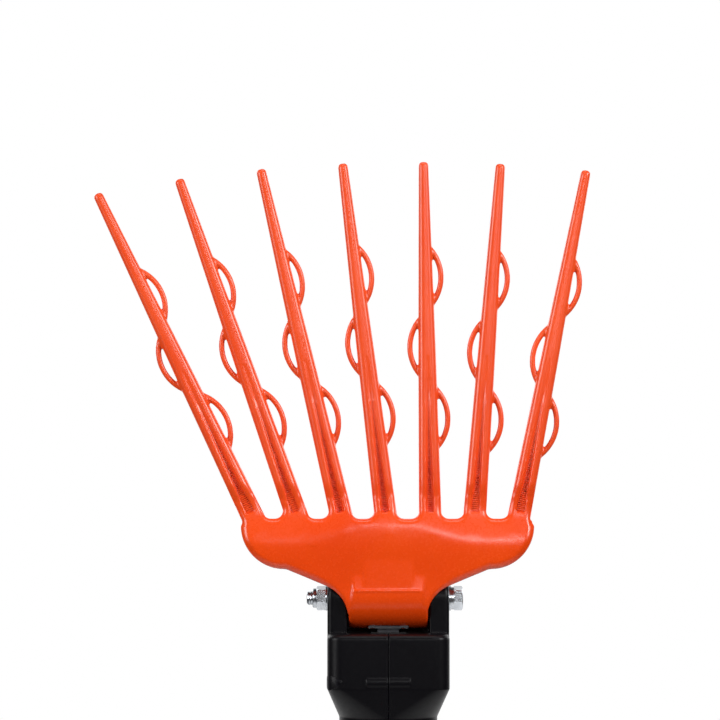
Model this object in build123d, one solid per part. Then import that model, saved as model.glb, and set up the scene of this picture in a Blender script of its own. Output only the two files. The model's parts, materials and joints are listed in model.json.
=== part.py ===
from build123d import *
import math
import os

# Head of an electric olive harvester: one swinging rake, its drive housing and the clamp socket for a pole.
# Millimetres, +Z up along the pole axis, origin at the centre of the socket's mouth, rake front facing -Y.

# Fits
touch = 0.02
running = 0.05
clear = 0.4
seam = 0.2
slip = 0.1
loose = 0.2
past = 1.0

# Pole socket
pole_bore_d = 30.2
socket_wall = 4.2
socket_bore_depth = 50.0
socket_floor = 4.0
socket_flange_r = 26.5
socket_flange_h = 4.0
spigot_r = 20.0
spigot_h = 18.0
collar_r = 23.0
collar_h = 5.0
clamp_slit = 3.0
clamp_slit_h = 44.0
clamp_ear_t = 8.0
clamp_ear_out = 14.0
clamp_ear_round = 4.0
clamp_screw_r = 3.0
clamp_screw_pitch = 22.0
clamp_screw_low = 11.0
clamp_screw_out = 6.5
clamp_head_r = 5.0
clamp_head_h = 6.0
clamp_key = 5.0
clamp_nut_hex = 10.0
clamp_nut_h = 5.0
clamp_screw_end = 3.0
socket_pin_r = 2.5
socket_pin_drop = 5.0
collar_rise = 4.0
spigot_floor = 2.0

# Motor
wiring_h = 15.0
motor_r = 22.25
can_wall = 1.6
can_h = 57.0
cap_h = 9.0
cap_boss_r = 8.5
cap_boss_h = 3.5
cap_inset = 0.6
cap_round = 1.5
cap_spigot_h = 3.0
cap_floor = 3.0
cap_room = 5.0
cap_boss_floor = 1.2
pilot_r = 8.75
pilot_h = 3.6
pilot_wall = 2.5
rear_bush_wall = 3.0
rear_bush_lift = 0.6
shaft_end_lift = 1.0
motor_shaft_r = 2.5
magnet_t = 4.6
magnet_over = 4.0
magnet_angle = 130.0
air_gap = 0.6
winding_top_gap = 6.4
winding_h = 5.0
winding_air_gap = 2.85
winding_round = 2.0
winding_wall = 1.5
winding_gap = 1.0
stack_slots = 7
stack_slot_w = 2.0
stack_slot_depth = 6.0
commutator_r = 6.5
commutator_h = 12.0
commutator_lift = 0.5
brush_w = 5.0
brush_l = 8.0
brush_floor = 0.5
brush_cover = 1.1
holder_gap = 2.0
terminal_w = 4.8
terminal_h = 7.0
terminal_t = 0.8
terminal_root = 5.0
terminal_inset = 6.5
motor_screw_r = 2.0
motor_screw_circle_r = 14.5
motor_head_r = 3.8
motor_head_h = 2.0
motor_slot_w = 1.0
motor_slot_depth = 0.8

# Planetary gear
module = 1.0
sun_teeth = 12
planet_teeth = 15
ring_teeth = 42
planet_count = 3
pressure_angle = 25.0
tooth_top = 0.9
tooth_root = 1.2
backlash = 0.16
gear_h = 8.0
planet_pin_r = 2.0
planet_head_r = 3.4
planet_head_h = 1.1
planet_head_gap = 0.3
planet_lift = 2.0
sun_under = 1.0
carrier_h = 4.0
carrier_gap = 0.5
carrier_top_gap = 1.0
carrier_rim = 5.5
ring_wall = 3.8
motor_plate_h = 4.0
dowel_r = 1.5
dowel_count = 3
dowel_cover_low = 1.0
dowel_cover_high = 3.0
dowel_end_gap = 0.2

# Crank and its bearings
shaft_r = 5.0
output_bearing_r = 11.0
output_bearing_h = 6.0
bearing_spacer_h = 2.5
bearing_lip = 2.5
bearing_lip_h = 1.0
bearing_sink = 0.5
bearing_wall = 3.5
spacer_wall = 2.0
plate_rim = 5.0
plate_web_h = 5.0
eccentricity = 4.55
crank_pin_r = 4.0
crank_seat_r = 4.0
crank_core_r = 11.0
crank_disc_r = 14.0
crank_disc_h = 3.4
weight_r = 22.0
weight_h = 4.5
weight_gap = 1.0
weight_room = 1.5
land_w = 1.5
land_h = 0.3
drive_bearing_r = 11.0
drive_bearing_h = 7.0
clip_h = 1.0
clip_r = 6.0
clip_gap = 0.2
clip_mouth = 3.0
clip_groove = 0.6
pin_end_h = 0.6
pin_end_gap = 1.5
grub_r = 1.5
grub_l = 8.0

# Rocker yoke under the rake's hub
tine_t = 4.0
tine_half_w = 7.0
tine_lift = 0.4
yoke_bar_h = 4.5
bar_rise = 5.0
yoke_neck_half_w = 6.5
yoke_neck_front = 5.0
yoke_neck_back = 6.0
yoke_flange_half_w = 12.0
yoke_flange_front = 7.2
yoke_flange_back = 9.6
yoke_flange_h = 4.2
yoke_screw_r = 2.0
yoke_screw_x = 9.2
yoke_screw_under = 1.1
yoke_screw_edge = 3.2
yoke_hole_end = 0.5
yoke_head_r = 3.6
yoke_head_h = 2.0
yoke_slot_w = 0.8
yoke_slot_depth = 0.8

# Housing
hub_side_gap = 0.4
cheek_t = 11.7
cheek_boss_r = 13.0
cheek_round = 3.0
deck_gap = 2.6
deck_t = 3.0
wall = 3.4
body_corner_r = 9.0
body_top_round = 3.0
box_depth = 6.0
shoulder_h = 18.0
neck_r = 27.2
neck_round = 1.2
tube_under = 2.0
motor_room = 1.0
motor_seat_h = 8.0
motor_rib_rise = 35.3
motor_rib_h = 5.7
cavity_step = 0.4
chamber_floor = 1.0
cheek_rib_t = 3.0
cheek_rib_in = 2.0
foot_rise = 6.0
shell_screw_r = 2.0
shell_boss_r = 5.2
shell_boss_half_w = 13.0
shell_seat_x = 8.0
shell_head_r = 3.5
shell_head_h = 3.0
shell_key = 2.5
shell_key_depth = 1.8
shell_screw_reach = 10.5
shell_screw_edge = 4.4
shell_screw_top_rise = 4.0
shell_screw_mid_drop = 8.0
shell_screw_low_rise = 13.0
vent_count = 5
vent_w = 2.6
vent_h = 20.0
vent_pitch = 6.4
vent_rise = 21.7
guard_gap = 1.5
guard_t = 3.0
guard_h = 12.5
guard_round = 1.2
seal_rim = 4.0
seal_sink = 1.5
seal_rise = 0.3

# Cable gland
gland_r = 8.0
gland_hex = 20.0
gland_hex_h = 6.0
gland_cap_r = 9.5
gland_cap_h = 11.0
gland_nut_h = 5.0
gland_thread_end = 1.0
gland_motor_gap = 0.25
gland_nut_room = 2.2
gland_pad_h = 3.0
gland_wall = 4.0
gland_pad_rim = 3.5
gland_rise = 2.0
gland_neck_in = 0.6
gland_neck_h = 8.0
gland_cap_round = 4.0
gland_cap_mouth = 1.0
cable_r = 3.5
grommet_wall = 2.0
grommet_root = 6.0

# Pivot bolt
bolt_r = 4.0
bolt_hex = 13.0
bolt_head_h = 5.3
nut_hex_h = 5.5
nut_collar_h = 2.5
nut_collar_r = 5.9
bolt_end_h = 3.4
bolt_end_bevel = 0.8
hex_bevel_slope = 1.7
head_bevel_r = 6.175
nut_collar_round = 0.9
locking_wall = 0.9
locking_cover = 0.4
locking_floor = 0.2
washer_r = 7.6
washer_h = 1.0
spring_washer_r = 6.9
spring_washer_h = 2.0
spring_washer_gap = 1.2
hex_turn = 15.0
sleeve_r = 5.5
bush_r = 7.5
bush_flange_r = 11.0
bush_flange_h = 0.8
bush_h = 16.0

# Rake
hub_r = 18.0
hub_half_w = 23.7
hub_edge_round = 1.2
palm_t = 4.6
palm_top = 48.3
palm_front_round = 2.8
lobe_r = 26.0
lobe_in = 17.5
lobe_drop = 4.3
lobe_lean_in = 3.2
kink_in = 1.5
flare_r = 21.6
palm_shift = -0.5
flare_low = -12.0
palm_edge_slope = 22.5
palm_edge_x = 37.0
palm_edge_z = 8.1
tongue_half_w = 14.7
tongue_toe = -6.0
tongue_low = 5.4
tongue_top = 26.0
tongue_step = 1.5
tongue_fall_step = 0.9
tongue_fall = 8.0
tongue_sink = 1.0
tongue_end_sink = 0.2
tongue_edge = 1.2
ridge_half_w = 21.5
ridge_ramp_h = 15.0
finger_leans = [-25.7, -19.3, -13.1, -7.0, -1.1, 4.2, 11.0]
finger_count = len(finger_leans)
finger_pitch = 26.5
finger_shift = -1.35
finger_length = 214.6
finger_length_step = -0.6
finger_base_w = 13.6
finger_base_t = 12.6
finger_knee_w = 10.5
finger_knee_t = 9.8
finger_knee = 100.0
finger_tip_w = 5.8
finger_tip_t = 5.7
finger_base_corner = 3.6
finger_knee_corner = 3.6
finger_tip_corner = 2.6
finger_tip_round = 2.2
finger_root = 10.0
finger_root_round = 4.8
finger_stub_in = 0.6
finger_stub_over = 4.0
lobe_root_round = 3.6
groove_stations = [(4.0, 4.9, 3.6, 0.5), (60.0, 2.0, 1.4, 0.2), (98.0, 1.4, 0.3, 0.1)]
finger_cut = 3.0
finger_cut_half_w = 9.0
loop_cut = 36.0
loop_cut_half_w = 15.5
loop_rib_r = 1.75
loop_arc_r = 25.6
loop_sink = 1.2
loop_drop = 1.8
loop_web_t = 1.6
loop_web_end = 11.5
loop_places = [(146.8, 1, 6.6), (104.5, -1, 6.8), (62.0, 1, 7.6)]
rib_t = 3.4
rib_depth = 7.0
rib_edge = 1.6
rib_start = 12.0
rib_end = 18.0
beam_h = 6.0
beam_over = 2.5
beam_drop = 1.0
spoke_draw_in = 0.62
spoke_edge = 3.0
spoke_drop = 4.0
spoke_sink = 2.0
gusset_x = 12.0
gusset_drop = 2.0
gusset_cut = 6.0
cheek_room = 2.0
cheek_swing_gap = 0.5
gusset_t = 5.0

# Sizes that follow from the gear, the motor, the hub and the fingers
gear_stack_r = module * ring_teeth / 2 + tooth_root + ring_wall
dowel_circle_r = gear_stack_r - ring_wall / 2
motor_tube_r = gear_stack_r + slip + wall
motor_cavity_r = gear_stack_r - cavity_step
magnet_inner_r = motor_r - can_wall - magnet_t
winding_r = magnet_inner_r - winding_air_gap
stack_h = can_h - can_wall - commutator_h - 2 * winding_h - winding_gap - winding_top_gap
magnet_h = stack_h + magnet_over
gland_nut_y = motor_r + gland_motor_gap + gland_thread_end
gland_face_y = max(motor_tube_r + gland_pad_h, gland_nut_y + gland_nut_h + gland_wall)
gland_end_y = gland_face_y + gland_hex_h + gland_neck_h
cheek_inner_x = hub_half_w + bush_flange_h + hub_side_gap
cheek_outer_x = cheek_inner_x + cheek_t
yoke_screw_grip = hub_r - yoke_flange_h - bush_r - yoke_screw_under
outer_finger_x = finger_pitch * (finger_count - 1) / 2
lobe_x = outer_finger_x - lobe_in
lobe_z = palm_top - lobe_drop
beam_half_w = outer_finger_x + beam_over

# Levels, counted up from the socket's mouth
flange_low_z = socket_bore_depth + socket_floor - socket_flange_h
body_low_z = flange_low_z + socket_flange_h
spigot_top_z = body_low_z + spigot_h
cap_low_z = spigot_top_z + wiring_h
can_low_z = cap_low_z + cap_h
can_top_z = can_low_z + can_h
plate_top_z = can_top_z + motor_plate_h
planet_low_z = plate_top_z + planet_lift
carrier_low_z = planet_low_z + gear_h + carrier_gap
carrier_top_z = carrier_low_z + carrier_h
ring_top_z = carrier_top_z + carrier_top_gap
lower_bearing_z = ring_top_z + bearing_lip_h
upper_bearing_z = lower_bearing_z + output_bearing_h + bearing_spacer_h
gearbox_top_z = upper_bearing_z + output_bearing_h + bearing_sink
weight_low_z = gearbox_top_z + weight_gap
disc_low_z = weight_low_z + weight_h
disc_top_z = disc_low_z + crank_disc_h
drive_bearing_z = disc_top_z + land_h
clip_z = drive_bearing_z + drive_bearing_h + clip_gap
pin_top_z = clip_z + clip_h + pin_end_h
yoke_bar_z = pin_top_z + pin_end_gap
yoke_bar_top_z = yoke_bar_z + yoke_bar_h

# The drive bearing's reach in the yoke, with the rake at either end of its swing
pivot_z = yoke_bar_top_z + bar_rise + deck_t + deck_gap + hub_r
swing_arm = pivot_z - drive_bearing_z - drive_bearing_h / 2
swing_deg = math.degrees(math.atan(eccentricity / swing_arm))
swing_sin = math.sin(math.radians(swing_deg))
deck_top_z = pivot_z - hub_r - deck_gap
deck_low_z = deck_top_z - deck_t
bearing_low_arm = pivot_z - drive_bearing_z
tine_inner_y = drive_bearing_r + eccentricity + bearing_low_arm * swing_sin + clear
tine_outer_y = tine_inner_y + tine_t
tine_low_z = drive_bearing_z + tine_lift
chamber_half_y = tine_outer_y + (pivot_z - tine_low_z) * swing_sin + clear
chamber_half_x = cheek_outer_x - wall
body_half_y = chamber_half_y + wall
box_low_z = disc_low_z - box_depth
tube_top_z = box_low_z - shoulder_h
ring_low_z = plate_top_z
slot_room = swing_sin * (pivot_z - deck_low_z) + clear
collar_low_z = body_low_z + collar_rise
socket_pin_z = spigot_top_z - socket_pin_drop
stack_middle_z = can_low_z + commutator_h + winding_h + stack_h / 2 + winding_gap
rear_bush_z = cap_low_z - cap_boss_h + cap_boss_floor
gland_z = cap_low_z + gland_rise
nut_near_x = cheek_outer_x + washer_h
clamp_ear_x = clamp_slit / 2 + clamp_ear_t
clamp_screw_y = pole_bore_d / 2 + socket_wall + clamp_screw_out
carrier_arm = module * (sun_teeth + planet_teeth) / 2
tooth_w = math.pi * module / 2 - backlash / 2
gap_w = math.pi * module / 2 + backlash / 2


def cylinder_z(radius, low, high, x=0.0, y=0.0):
    return Pos(x, y, (low + high) / 2) * Cylinder(radius, high - low)


def cylinder_x(radius, low, high, y=0.0, z=0.0):
    return Pos((low + high) / 2, y, z) * Rot(0, 90, 0) * Cylinder(radius, high - low)


def cylinder_y(radius, low, high, x=0.0, z=0.0):
    return Pos(x, (low + high) / 2, z) * Rot(90, 0, 0) * Cylinder(radius, high - low)


def block(x_low, x_high, y_low, y_high, z_low, z_high):
    middle = Pos((x_low + x_high) / 2, (y_low + y_high) / 2, (z_low + z_high) / 2)
    return middle * Box(x_high - x_low, y_high - y_low, z_high - z_low)


def ring_z(outer, inner, low, high, x=0.0, y=0.0):
    return cylinder_z(outer, low, high, x, y) - cylinder_z(inner, low - past, high + past, x, y)


def ring_x(outer, inner, low, high, y=0.0, z=0.0):
    return cylinder_x(outer, low, high, y, z) - cylinder_x(inner, low - past, high + past, y, z)


def hexagon_x(flats, low, high, turn, y=0.0, z=0.0):
    face = RegularPolygon(flats / 2, 6, major_radius=False, rotation=turn)
    return Pos(low, y, z) * extrude(Plane.YZ * face, high - low)


def save(shape, name):
    shape.label = name
    export_step(shape, f"parts/{name}.step")


# Rake, built about its pivot axis and then raised
def finger_step(index):
    return index - (finger_count - 1) / 2


def finger_x(index):
    return finger_shift + finger_pitch * finger_step(index)


def finger_place(index):
    return Pos(finger_x(index), -hub_r + finger_base_t / 2, palm_top) * Rot(0, finger_leans[index], 0)


def finger_size(along):
    if along < finger_knee:
        share = along / finger_knee
        wide = finger_base_w + (finger_knee_w - finger_base_w) * share
        deep = finger_base_t + (finger_knee_t - finger_base_t) * share
    else:
        share = (along - finger_knee) / (finger_length - finger_knee)
        wide = finger_knee_w + (finger_tip_w - finger_knee_w) * share
        deep = finger_knee_t + (finger_tip_t - finger_knee_t) * share
    return wide, deep


def finger_section(along, wide, deep, corner):
    return Pos(0, 0, along) * RectangleRounded(wide, deep, corner)


def finger_loop(along, side, reach):
    edge = finger_size(along)[0] / 2
    peak = edge + reach - loop_rib_r
    centre = peak - loop_arc_r
    half_turn = math.degrees(math.acos((edge - loop_sink - centre) / loop_arc_r))
    section = Plane.XY * Pos(loop_arc_r, 0) * Circle(loop_rib_r)
    arc = Rot(0, -half_turn, 0) * revolve(section, Axis.Y, 2 * half_turn)
    web = cylinder_y(loop_arc_r, -loop_web_t / 2, loop_web_t / 2)
    web_x = edge - loop_sink - centre
    web = web & block(web_x, loop_arc_r, -loop_web_t, loop_web_t, -loop_arc_r, loop_arc_r)
    web = web - block(0, loop_arc_r, -loop_web_t, loop_web_t, -loop_web_end, loop_web_end)
    arc = arc + web
    if side < 0:
        arc = Rot(0, 0, 180) * arc
    return Pos(side * centre, 0, along) * arc


def make_finger(index):
    length = finger_length + finger_length_step * finger_step(index)
    root_w, root_t = finger_size(-finger_root)
    sections = [
        finger_section(-finger_root, root_w, root_t, finger_base_corner),
        finger_section(finger_knee, finger_knee_w, finger_knee_t, finger_knee_corner),
        finger_section(length, finger_tip_w, finger_tip_t, finger_tip_corner),
    ]
    finger = loft(sections, ruled=True)
    return fillet(finger.faces().sort_by(Axis.Z)[-1].edges(), finger_tip_round)


def make_groove():
    sections = []
    for along, wide, deep, corner in groove_stations:
        front = -finger_size(along)[1] / 2
        sections.append(Pos(0, front, along) * RectangleRounded(wide, 2 * deep, corner))
    return loft(sections, ruled=True)


def palm_edge_height(x):
    return palm_edge_z + (abs(x) - palm_edge_x) * math.tan(math.radians(palm_edge_slope))


def palm_face():
    turn = math.radians(palm_edge_slope)
    flare_x = hub_half_w + flare_r
    flare_end = (flare_x - flare_r * math.sin(turn), flare_low + flare_r * math.cos(turn))
    middle_turn = (math.radians(90) + turn) / 2
    flare_mid = (flare_x - flare_r * math.sin(middle_turn), flare_low + flare_r * math.cos(middle_turn))
    kink = (lobe_x - kink_in, palm_edge_height(lobe_x - kink_in))
    side_x = lobe_x + lobe_r
    half_turn = math.radians(45)
    lobe_mid = (lobe_x + lobe_r * math.sin(half_turn), lobe_z - lobe_r * math.cos(half_turn))
    lobe_low = (lobe_x, lobe_z - lobe_r)
    top_corner = (side_x - lobe_lean_in, palm_top)
    right = [
        Line((0, flare_low), (hub_half_w, flare_low)),
        ThreePointArc((hub_half_w, flare_low), flare_mid, flare_end),
        Line(flare_end, kink),
        Line(kink, lobe_low),
        ThreePointArc(lobe_low, lobe_mid, (side_x, lobe_z)),
        Line((side_x, lobe_z), top_corner),
        Line(top_corner, (0, palm_top)),
        Line((0, palm_top), (0, flare_low)),
    ]
    half_face = make_face(right)
    outline = Pos(palm_shift, 0) * (half_face + mirror(half_face, Plane.YZ))
    stub_w = finger_base_w - finger_stub_in
    stub_h = 2 * finger_root + finger_stub_over
    for index in range(finger_count):
        stub = Pos(0, finger_stub_over / 2) * Rectangle(stub_w, stub_h)
        outline = outline + Pos(finger_x(index), palm_top) * Rot(0, 0, -finger_leans[index]) * stub
    lobe_roots = []
    for corner in outline.vertices():
        if lobe_z + touch < corner.Y < palm_top - touch and abs(corner.X) > outer_finger_x:
            lobe_roots.append(corner)
    outline = fillet(lobe_roots, lobe_root_round)
    roots = []
    for corner in outline.vertices():
        if abs(corner.Y - palm_top) < touch and abs(corner.X) < outer_finger_x:
            roots.append(corner)
    return fillet(roots, finger_root_round)


def make_palm(front):
    plate = Pos(0, front + palm_t, 0) * extrude(Plane.XZ * palm_face(), palm_t)
    rim = [
        edge
        for edge in plate.faces().sort_by(Axis.Y)[0].edges()
        if edge.center().Z > flare_low + touch
    ]
    plate = fillet(rim, palm_front_round)
    reach = hub_half_w + flare_r + past
    under = block(-reach, reach, front - past, 0, flare_low - past, 0)
    return plate - (under - cylinder_x(hub_r, -reach - past, reach + past))


def tongue_wedge(front, half_w, upper_points):
    toe = (front + tongue_sink, tongue_toe)
    ridge = (front - tongue_step, tongue_low)
    face = Plane.YZ * make_face(Polyline(toe, ridge, *upper_points, close=True))
    wedge = Pos(-half_w, 0, 0) * extrude(face, 2 * half_w)
    return fillet(wedge.edges().filter_by(Axis.X).sort_by(Axis.Y)[0], tongue_edge)


def make_tongue(front):
    panel_points = [
        (front - tongue_fall_step, tongue_low + tongue_fall),
        (front + tongue_end_sink, tongue_top),
        (front + tongue_sink, tongue_top),
    ]
    ramp_points = [(front + tongue_sink, tongue_low + ridge_ramp_h)]
    panel = tongue_wedge(front, tongue_half_w, panel_points)
    ridge = tongue_wedge(front, ridge_half_w, ramp_points)
    return panel + ridge


def make_palm_ribs(back):
    rib_back = back + rib_depth
    beam_top = palm_top - beam_drop
    ribs = [block(-beam_half_w, beam_half_w, back - past, rib_back, beam_top - beam_h, beam_top)]
    slope_length = lobe_x - palm_edge_x + rib_end
    web = Plane.YZ * make_face(
        Polyline(
            (back - past, 0),
            (back - past, palm_top - gusset_drop),
            (rib_back, palm_top - gusset_drop),
            (hub_r - gusset_cut, hub_r - gusset_cut),
            (0, 0),
            close=True,
        )
    )
    for side in (-1, 1):
        start_x = hub_half_w + rib_start
        strip = Pos(side * slope_length / 2, rib_t / 2 + rib_edge) * Rectangle(slope_length, rib_t)
        strip = Rot(0, 0, side * palm_edge_slope) * strip
        strip = Pos(side * start_x, palm_edge_height(start_x)) * strip
        ribs.append(Pos(0, rib_back, 0) * extrude(Plane.XZ * strip, rib_depth + past))
        lobe_rib_r = lobe_r - rib_edge
        lobe = cylinder_y(lobe_rib_r, back - past, rib_back, side * lobe_x, lobe_z)
        lobe = lobe - cylinder_y(lobe_rib_r - rib_t, back - 2 * past, rib_back + past, side * lobe_x, lobe_z)
        near_x, far_x = sorted((side * lobe_x, side * (lobe_x + lobe_r)))
        keep = block(near_x, far_x, back - 2 * past, rib_back + past, lobe_z - lobe_r, beam_top)
        ribs.append(lobe & keep)
        ribs.append(Pos(side * gusset_x - gusset_t / 2, 0, 0) * extrude(web, gusset_t))
    for index in range(finger_count):
        high_x = finger_x(index)
        high_z = palm_top - spoke_drop
        low_x = high_x * spoke_draw_in
        low_z = max(hub_r - spoke_sink, palm_edge_height(low_x) + spoke_edge)
        run = math.hypot(high_x - low_x, high_z - low_z)
        lean = math.degrees(math.atan2(high_x - low_x, high_z - low_z))
        spoke = Pos(low_x, low_z) * Rot(0, 0, -lean) * Pos(0, run / 2) * Rectangle(rib_t, run)
        ribs.append(Pos(0, rib_back - past, 0) * extrude(Plane.XZ * spoke, rib_depth))
    return ribs


def make_rake():
    front = -hub_r
    back = front + palm_t
    hub = cylinder_x(hub_r, -hub_half_w, hub_half_w)
    hub = fillet(hub.edges().filter_by(GeomType.CIRCLE), hub_edge_round)
    fingers = []
    for index in range(finger_count):
        place = finger_place(index)
        fingers.append(place * make_finger(index))
        drop = loop_drop * max(0.0, finger_step(index))
        for along, side, reach in loop_places:
            fingers.append(place * finger_loop(along - drop, side, reach))
    rake = hub + [make_palm(front), make_tongue(front)] + make_palm_ribs(back) + fingers
    side_room = block(
        hub_half_w,
        lobe_x + lobe_r + past,
        -cheek_boss_r - cheek_swing_gap - abs(flare_low) * swing_sin,
        hub_r + past,
        -hub_r - past,
        cheek_boss_r + cheek_room,
    )
    rake = rake - side_room - mirror(side_room, Plane.YZ)
    rake = rake - cylinder_x(bush_r + touch, -hub_half_w - past, hub_half_w + past)
    pocket = block(
        -yoke_flange_half_w - loose,
        yoke_flange_half_w + loose,
        -yoke_flange_front - loose,
        yoke_flange_back + loose,
        -hub_r - past,
        -hub_r + yoke_flange_h,
    )
    rake = rake - pocket
    hole_end = -hub_r + yoke_flange_h + yoke_screw_grip + yoke_hole_end
    for x, y in yoke_screw_places():
        rake = rake - cylinder_z(yoke_screw_r + touch, -hub_r, hole_end, x, y)
    return rake


def finger_room(index):
    top = finger_length + finger_root
    low = block(-finger_cut_half_w, finger_cut_half_w, -hub_r, hub_r, finger_cut, top)
    high = block(-loop_cut_half_w, loop_cut_half_w, -hub_r, hub_r, loop_cut, top)
    return finger_place(index) * (low + high)


def save_rake():
    rake = make_rake()
    palm = rake
    for index in range(finger_count):
        room = finger_room(index)
        finger = (rake & room) - finger_place(index) * make_groove()
        save(Pos(0, 0, pivot_z) * finger, f"rake_finger_{index + 1}")
        palm = palm - room
    save(Pos(0, 0, pivot_z) * palm, "rake_palm")


def yoke_screw_places():
    front = -yoke_flange_front + yoke_screw_edge
    back = yoke_flange_back - yoke_screw_edge
    return [(side * yoke_screw_x, y) for side in (-1, 1) for y in (front, back)]


def make_yoke():
    flange_low = pivot_z - hub_r - touch
    flange_top = flange_low + yoke_flange_h
    flange = block(
        -yoke_flange_half_w,
        yoke_flange_half_w,
        -yoke_flange_front,
        yoke_flange_back,
        flange_low,
        flange_top,
    )
    neck = block(
        -yoke_neck_half_w,
        yoke_neck_half_w,
        -yoke_neck_front,
        yoke_neck_back,
        yoke_bar_z,
        flange_low + past,
    )
    bar = block(-tine_half_w, tine_half_w, -tine_outer_y, tine_outer_y, yoke_bar_z, yoke_bar_top_z)
    yoke = flange + neck + bar
    for side in (-1, 1):
        low, high = sorted((side * tine_inner_y, side * tine_outer_y))
        yoke = yoke + block(-tine_half_w, tine_half_w, low, high, tine_low_z, yoke_bar_z + past)
    for x, y in yoke_screw_places():
        yoke = yoke - cylinder_z(yoke_screw_r + touch, flange_low - past, flange_top + past, x, y)
        sink = Cone(yoke_head_r + slip, yoke_screw_r + touch, yoke_head_h)
        yoke = yoke - Pos(x, y, flange_low + yoke_head_h / 2) * sink
    return yoke


def make_yoke_screws():
    flange_low = pivot_z - hub_r - touch
    shank_top = flange_low + yoke_flange_h + yoke_screw_grip
    screws = []
    for x, y in yoke_screw_places():
        head = Pos(x, y, flange_low + yoke_head_h / 2) * Cone(yoke_head_r, yoke_screw_r - slip, yoke_head_h)
        shank = cylinder_z(yoke_screw_r, flange_low + yoke_head_h / 2, shank_top, x, y)
        slot = block(
            x - yoke_screw_r,
            x + yoke_screw_r,
            y - yoke_slot_w / 2,
            y + yoke_slot_w / 2,
            flange_low - past,
            flange_low + yoke_slot_depth,
        )
        screws.append(head + shank - slot)
    return Compound(children=screws)


# Housing shells
def shell_screw_places():
    levels = [
        (box_low_z + shell_screw_top_rise, body_half_y - shell_screw_edge),
        (ring_low_z - shell_screw_mid_drop, motor_tube_r),
        (can_low_z + shell_screw_low_rise, motor_tube_r),
    ]
    return [(side * y, z) for z, y in levels for side in (-1, 1)]


def make_housing_form():
    body = block(-cheek_outer_x, cheek_outer_x, -body_half_y, body_half_y, box_low_z, deck_top_z)
    body = fillet(body.edges().filter_by(Axis.Z), body_corner_r)
    body = fillet(body.faces().sort_by(Axis.Z)[-1].edges(), body_top_round)
    box_section = RectangleRounded(2 * cheek_outer_x, 2 * body_half_y, body_corner_r)
    tube_section = RectangleRounded(2 * motor_tube_r, 2 * motor_tube_r, motor_tube_r - slip)
    shoulder = loft([Pos(0, 0, box_low_z) * box_section, Pos(0, 0, tube_top_z) * tube_section], ruled=True)
    tube_low_z = cap_low_z - tube_under
    tube = cylinder_z(motor_tube_r, tube_low_z, tube_top_z)
    taper = Cone(neck_r, motor_tube_r, tube_low_z - spigot_top_z)
    taper = Pos(0, 0, (tube_low_z + spigot_top_z) / 2) * taper
    neck = cylinder_z(neck_r, body_low_z, spigot_top_z)
    neck = fillet(neck.edges().sort_by(Axis.Z)[0], neck_round)
    form = body + [shoulder, tube, taper, neck]
    column_h = pivot_z - deck_top_z + body_top_round
    outline = Circle(cheek_boss_r) + Pos(0, -column_h / 2) * Rectangle(2 * cheek_boss_r, column_h)
    cheek = extrude(Plane.YZ * outline, cheek_t)
    cheek = fillet(cheek.faces().sort_by(Axis.X)[-1].edges(), cheek_round)
    cheek = Pos(cheek_inner_x, 0, pivot_z) * cheek
    foot_low = box_low_z + foot_rise
    foot = block(cheek_inner_x, cheek_outer_x, -cheek_boss_r, cheek_boss_r, foot_low, deck_top_z - past)
    for piece in (cheek, foot):
        form = form + [piece, mirror(piece, Plane.YZ)]
    guard_x = cheek_outer_x - body_corner_r
    guard_y = hub_r + guard_gap
    guard = block(-guard_x, guard_x, guard_y, guard_y + guard_t, deck_top_z - past, deck_top_z + guard_h)
    form = form + fillet(guard.faces().sort_by(Axis.Z)[-1].edges(), guard_round)
    for y, z in shell_screw_places():
        form = form + cylinder_x(shell_boss_r, -shell_boss_half_w, shell_boss_half_w, y, z)
    return form + cylinder_y(gland_hex / 2 + gland_pad_rim, 0, gland_face_y, 0, gland_z)


def make_chamber():
    chamber = block(
        -chamber_half_x,
        chamber_half_x,
        -chamber_half_y,
        chamber_half_y,
        disc_low_z - chamber_floor,
        deck_low_z,
    )
    chamber = fillet(chamber.edges().filter_by(Axis.Z), body_corner_r - wall)
    rib = block(
        cheek_inner_x - cheek_rib_in,
        chamber_half_x + past,
        -cheek_boss_r,
        -cheek_boss_r + cheek_rib_t,
        disc_low_z,
        deck_low_z,
    )
    for piece in (rib, mirror(rib, Plane.XZ)):
        chamber = chamber - piece - mirror(piece, Plane.YZ)
    return chamber


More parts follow.
